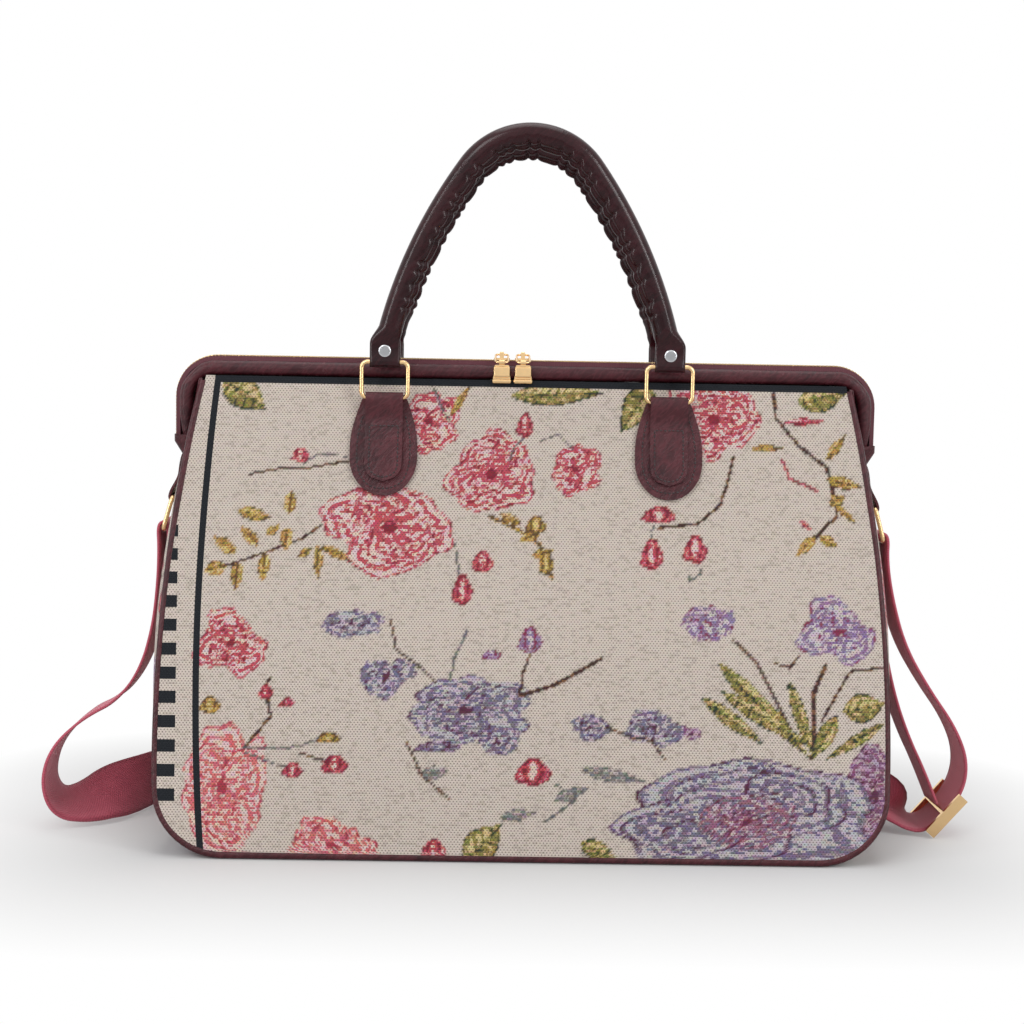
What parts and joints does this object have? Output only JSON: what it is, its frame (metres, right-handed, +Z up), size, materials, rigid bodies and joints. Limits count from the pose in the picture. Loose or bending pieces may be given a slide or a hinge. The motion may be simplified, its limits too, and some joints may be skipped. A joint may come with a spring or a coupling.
{
  "type": "carpet bag",
  "caption": "Soft carpet bag of floral woven cloth with a framed zip mouth, gathered rolled handles on rings and a wide webbing shoulder strap.",
  "frame": {"origin": "on the floor, under the middle of the bag without its strap", "axes": "+X along the mouth to the right as seen from the front, +Y to the back, +Z up"},
  "size_m": [0.6282, 0.2198, 0.4775],
  "materials": {
    "cloth": "woven floral cloth",
    "leather": "satin",
    "handle_leather": "gloss",
    "board": "matte",
    "steel": "satin",
    "zip_tape": "woven",
    "zip_teeth": "polished",
    "gold": "polished",
    "chrome": "polished",
    "filler": "twisted cord",
    "webbing": "woven webbing"
  },
  "bodies": {
    "bag": {"gusset": "cloth", "base_board": "board", "strap": "webbing", "strap_buckle": "gold", "front_panel": "cloth", "front_piping": "leather", "front_sleeve": "leather", "front_frame_rod": "steel", "front_zip_tape": "zip_tape", "front_zip_teeth": "zip_teeth", "front_left_patch": "leather", "front_left_loop": "leather", "front_right_patch": "leather", "front_right_loop": "leather", "back_panel": "cloth", "back_piping": "leather", "back_sleeve": "leather", "back_frame_rod": "steel", "back_zip_tape": "zip_tape", "back_zip_teeth": "zip_teeth", "back_left_patch": "leather", "back_left_loop": "leather", "back_right_patch": "leather", "back_right_loop": "leather", "left_side_tab": "leather", "left_side_ring": "gold", "right_side_tab": "leather", "right_side_ring": "gold"},
    "front_left_ring_body": {"front_left_ring": "gold"},
    "front_right_ring_body": {"front_right_ring": "gold"},
    "front_handle": {"front_handle_cover": "handle_leather", "front_handle_core": "filler", "front_handle_rivets": "chrome"},
    "back_left_ring_body": {"back_left_ring": "gold"},
    "back_right_ring_body": {"back_right_ring": "gold"},
    "back_handle": {"back_handle_cover": "handle_leather", "back_handle_core": "filler", "back_handle_rivets": "chrome"},
    "left_slider_body": {"left_slider": "gold"},
    "left_link_body": {"left_link": "gold"},
    "left_pull_body": {"left_pull": "gold"},
    "right_slider_body": {"right_slider": "gold"},
    "right_link_body": {"right_link": "gold"},
    "right_pull_body": {"right_pull": "gold"}
  },
  "joints": [
    {"name": "front_left_ring_swing", "type": "hinge", "parent": "bag", "child": "front_left_ring_body", "pos_m": [-0.0955, -0.02368, 0.295], "axis": [1, 0, 0], "range_deg": [-5, 130]},
    {"name": "front_right_ring_swing", "type": "hinge", "parent": "bag", "child": "front_right_ring_body", "pos_m": [0.0955, -0.02368, 0.295], "axis": [1, 0, 0], "range_deg": [-5, 130]},
    {"name": "front_handle_swing", "type": "hinge", "parent": "front_left_ring_body", "child": "front_handle", "pos_m": [0, -0.02368, 0.3187], "axis": [1, 0, 0], "range_deg": [-2.5, 20]},
    {"name": "back_left_ring_swing", "type": "hinge", "parent": "bag", "child": "back_left_ring_body", "pos_m": [-0.0955, 0.02368, 0.295], "axis": [-1, 0, 0], "range_deg": [-5, 130]},
    {"name": "back_right_ring_swing", "type": "hinge", "parent": "bag", "child": "back_right_ring_body", "pos_m": [0.0955, 0.02368, 0.295], "axis": [-1, 0, 0], "range_deg": [-5, 130]},
    {"name": "back_handle_swing", "type": "hinge", "parent": "back_left_ring_body", "child": "back_handle", "pos_m": [0, 0.02368, 0.3187], "axis": [-1, 0, 0], "range_deg": [-2.5, 20]},
    {"name": "left_zip_slide", "type": "slide", "parent": "bag", "child": "left_slider_body", "axis": [1, 0, 0], "range_m": [-0.185, 0]},
    {"name": "left_link_swing", "type": "hinge", "parent": "left_slider_body", "child": "left_link_body", "pos_m": [-0.0172, 0, 0.3252], "axis": [-1, 0, 0], "range_deg": [0, 144]},
    {"name": "left_pull_swing", "type": "hinge", "parent": "left_link_body", "child": "left_pull_body", "pos_m": [-0.0172, -0.01617, 0.31995], "axis": [-1, 0, 0], "range_deg": [0, 90]},
    {"name": "right_zip_slide", "type": "slide", "parent": "bag", "child": "right_slider_body", "axis": [1, 0, 0], "range_m": [0, 0.205]},
    {"name": "right_link_swing", "type": "hinge", "parent": "right_slider_body", "child": "right_link_body", "pos_m": [-0.0028, 0, 0.3252], "axis": [-1, 0, 0], "range_deg": [0, 144]},
    {"name": "right_pull_swing", "type": "hinge", "parent": "right_link_body", "child": "right_pull_body", "pos_m": [-0.0028, -0.01617, 0.31995], "axis": [-1, 0, 0], "range_deg": [0, 90]}
  ],
  "couplings": [
    {"joint": "front_right_ring_swing", "follows": "front_left_ring_swing", "ratio": 1},
    {"joint": "back_right_ring_swing", "follows": "back_left_ring_swing", "ratio": 1}
  ]
}
